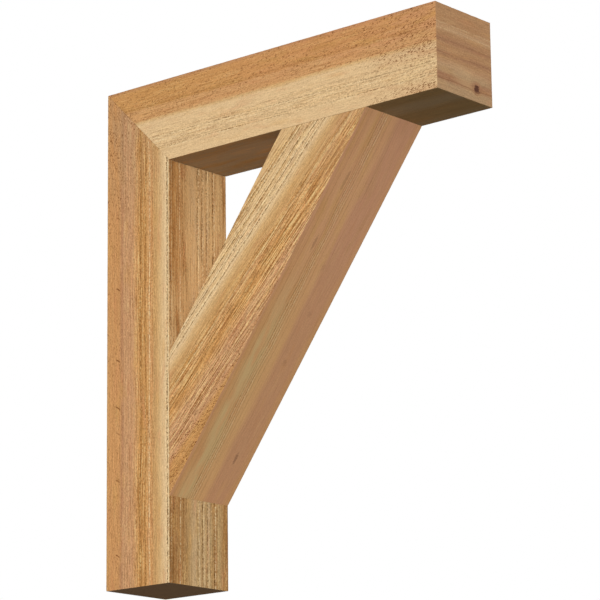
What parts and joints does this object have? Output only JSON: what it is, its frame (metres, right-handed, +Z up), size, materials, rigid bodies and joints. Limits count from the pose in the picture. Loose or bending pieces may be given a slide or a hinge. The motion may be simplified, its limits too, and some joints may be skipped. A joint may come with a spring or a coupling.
{
  "type": "wooden bracket",
  "caption": "Square timber wall bracket: a leg and an arm mitred at the corner, with a straight diagonal brace screwed between them.",
  "frame": {"origin": "where the wall face meets the top face, in the middle of the width", "axes": "+X out from the wall along the arm, +Z up along the leg, Y across the width"},
  "size_m": [0.508, 0.1016, 0.6096],
  "materials": {
    "cedar": "rough-sawn, bare",
    "screw_steel": "matt bronze exterior coat"
  },
  "bodies": {
    "root": {"leg": "cedar", "arm": "cedar", "brace": "cedar", "corner_top_screws": "screw_steel", "corner_back_screw": "screw_steel", "brace_head_screws": "screw_steel", "brace_foot_screws": "screw_steel"}
  },
  "joints": []
}
